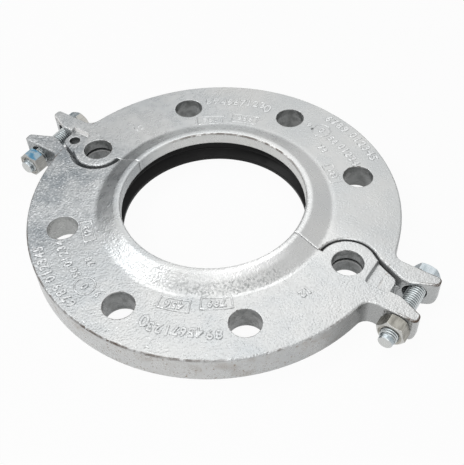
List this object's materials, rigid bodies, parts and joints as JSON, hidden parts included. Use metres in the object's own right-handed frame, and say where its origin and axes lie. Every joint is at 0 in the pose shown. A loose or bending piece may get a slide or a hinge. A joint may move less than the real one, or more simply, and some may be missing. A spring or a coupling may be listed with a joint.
{
  "type": "split flange adapter for a grooved pipe",
  "caption": "Split flange in two lapped cast halves with a rubber gasket and closure bolts, clamping in a pipe's groove to give it a bolted face.",
  "frame": {"origin": "on the bore's axis, in the plane of the mating face, which is the part's lowest plane", "axes": "+Z along the bore's axis from the mating face towards the pipe, +X through the two lapped stud holes and between the lugs, +Y from the nut side of the closure bolts to their heads"},
  "size_m": [0.2776, 0.222, 0.023],
  "materials": {
    "casting": "hot-dip galvanised over cast skin",
    "gasket": "smooth moulded rubber",
    "bolt": "zinc plated",
    "nut": "galvanised"
  },
  "bodies": {
    "root": {"front_half": "casting", "back_half": "casting", "gasket": "gasket", "right_bolt": "bolt", "left_bolt": "bolt", "right_nut": "nut", "left_nut": "nut"}
  },
  "joints": []
}
